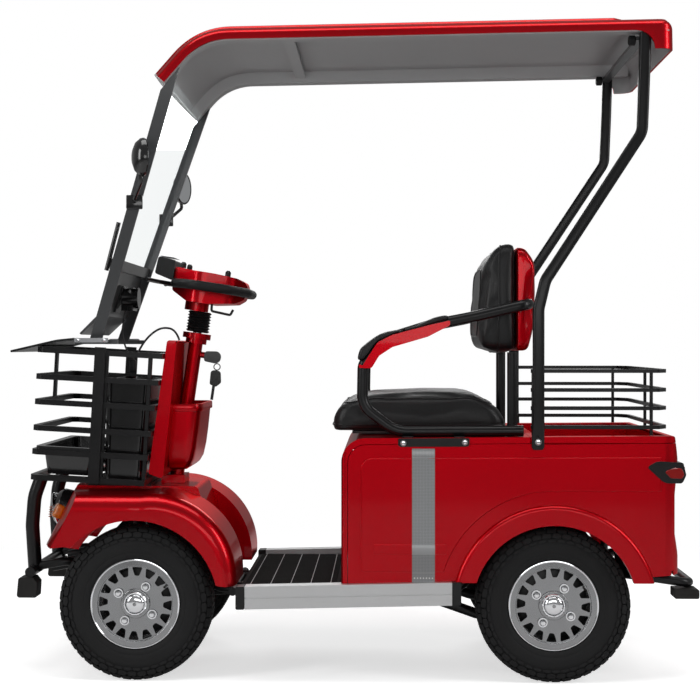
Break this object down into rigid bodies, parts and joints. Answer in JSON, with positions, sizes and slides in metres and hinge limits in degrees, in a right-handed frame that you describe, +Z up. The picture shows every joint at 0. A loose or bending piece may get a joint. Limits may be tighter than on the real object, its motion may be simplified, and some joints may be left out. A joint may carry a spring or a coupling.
{
  "type": "four-wheeled mobility scooter",
  "caption": "Electric four-wheeled mobility scooter with a roof, windscreen, front basket with lid, tiller steering, armchair seat and rear cargo box with rack.",
  "frame": {"origin": "on the ground under the middle of the length and width", "axes": "-X is the front, -Y the rider's left side, +Z up"},
  "size_m": [1.856, 0.8272, 1.7909],
  "materials": {
    "red_body": "metallic red gloss",
    "black_frame": "satin black powder coat",
    "grey_frame": "satin dark grey",
    "black_plastic": "satin black plastic",
    "grey_liner": "satin grey plastic",
    "rubber": "matte black rubber",
    "tyre": "matte black tyre",
    "rim": "bright cast alloy",
    "steel": "plated steel",
    "aluminium": "satin anodised",
    "seat_leather": "black vinyl",
    "clear": "clear sheet",
    "lamp": "lamp lens",
    "amber": "amber lens",
    "dark_lamp": "dark lamp housing"
  },
  "bodies": {
    "wheel_front_left": {"tyre_front_left": "tyre", "rim_front_left": "rim"},
    "wheel_front_right": {"tyre_front_right": "tyre", "rim_front_right": "rim"},
    "wheel_rear_left": {"tyre_rear_left": "tyre", "rim_rear_left": "rim"},
    "wheel_rear_right": {"tyre_rear_right": "tyre", "rim_rear_right": "rim"},
    "knuckle_left": {"knuckle_left": "steel"},
    "knuckle_right": {"knuckle_right": "steel"},
    "tie_rod": {"tie_rod": "steel"},
    "basket_lid": {"basket_lid": "black_frame"},
    "steering": {"steering_shaft": "steel", "tiller_head": "red_body", "tiller_bellows": "rubber", "tiller_grip": "rubber", "tiller_controls": "black_plastic"},
    "chassis": {"front_axle": "black_frame", "suspension": "black_frame", "chassis_frame": "black_frame", "battery": "black_plastic", "rear_axle": "black_frame", "running_boards": "aluminium", "running_board_caps": "black_plastic", "floor_mat": "rubber", "front_fender": "red_body", "headlight": "lamp", "indicators": "amber", "bumpers": "black_frame", "bumper_blocks": "rubber", "basket_frame": "black_frame", "basket_liners": "black_plastic", "leg_shield": "red_body", "storage_bin": "red_body", "column_tube": "red_body", "keys": "black_plastic", "windscreen": "clear", "windscreen_frame": "grey_frame", "wiper": "steel", "roof_shell": "red_body", "roof_liner": "grey_liner", "roof_posts": "black_frame", "mirrors": "black_plastic", "side_panel_left": "red_body", "side_panel_right": "red_body", "body_cover": "red_body", "cargo_tub": "red_body", "rear_panel": "red_body", "tail_lights": "dark_lamp", "seat_cushion": "seat_leather", "backrest_cushion": "seat_leather", "backrest_shell": "red_body", "seat_frame": "black_frame", "armrest_pads": "black_plastic", "cargo_rack": "black_frame", "armrest_covers": "red_body", "cables": "rubber"}
  },
  "joints": [
    {"name": "steering", "type": "hinge", "parent": "chassis", "child": "steering", "pos_m": [-0.51201, 0, 0.49817], "axis": [0.1426, 0, 0.9898], "range_deg": [-30, 30]},
    {"name": "left_kingpin", "type": "hinge", "parent": "chassis", "child": "knuckle_left", "pos_m": [-0.574, -0.245, 0.204], "axis": [0.1426, 0, 0.9898], "range_deg": [-30, 30]},
    {"name": "right_kingpin", "type": "hinge", "parent": "chassis", "child": "knuckle_right", "pos_m": [-0.574, 0.245, 0.204], "axis": [0.1426, 0, 0.9898], "range_deg": [-30, 30]},
    {"name": "tie_rod_pivot", "type": "hinge", "parent": "steering", "child": "tie_rod", "pos_m": [-0.48981, 0, 0.23157], "axis": [0.1426, 0, 0.9898], "range_deg": [-30, 30]},
    {"name": "wheel_front_left_spin", "type": "hinge", "parent": "knuckle_left", "child": "wheel_front_left", "pos_m": [-0.574, -0.272, 0.204], "axis": [0, 1, 0], "continuous": true},
    {"name": "wheel_front_right_spin", "type": "hinge", "parent": "knuckle_right", "child": "wheel_front_right", "pos_m": [-0.574, 0.272, 0.204], "axis": [0, 1, 0], "continuous": true},
    {"name": "wheel_rear_left_spin", "type": "hinge", "parent": "chassis", "child": "wheel_rear_left", "pos_m": [0.534, -0.272, 0.204], "axis": [0, 1, 0], "continuous": true},
    {"name": "wheel_rear_right_spin", "type": "hinge", "parent": "chassis", "child": "wheel_rear_right", "pos_m": [0.534, 0.272, 0.204], "axis": [0, 1, 0], "continuous": true},
    {"name": "basket_lid_hinge", "type": "hinge", "parent": "chassis", "child": "basket_lid", "pos_m": [-0.752, 0, 0.903], "axis": [0, 1, 0], "range_deg": [0, 80]}
  ],
  "couplings": [
    {"joint": "left_kingpin", "follows": "steering", "ratio": 1},
    {"joint": "right_kingpin", "follows": "steering", "ratio": 1},
    {"joint": "tie_rod_pivot", "follows": "steering", "ratio": -1}
  ]
}
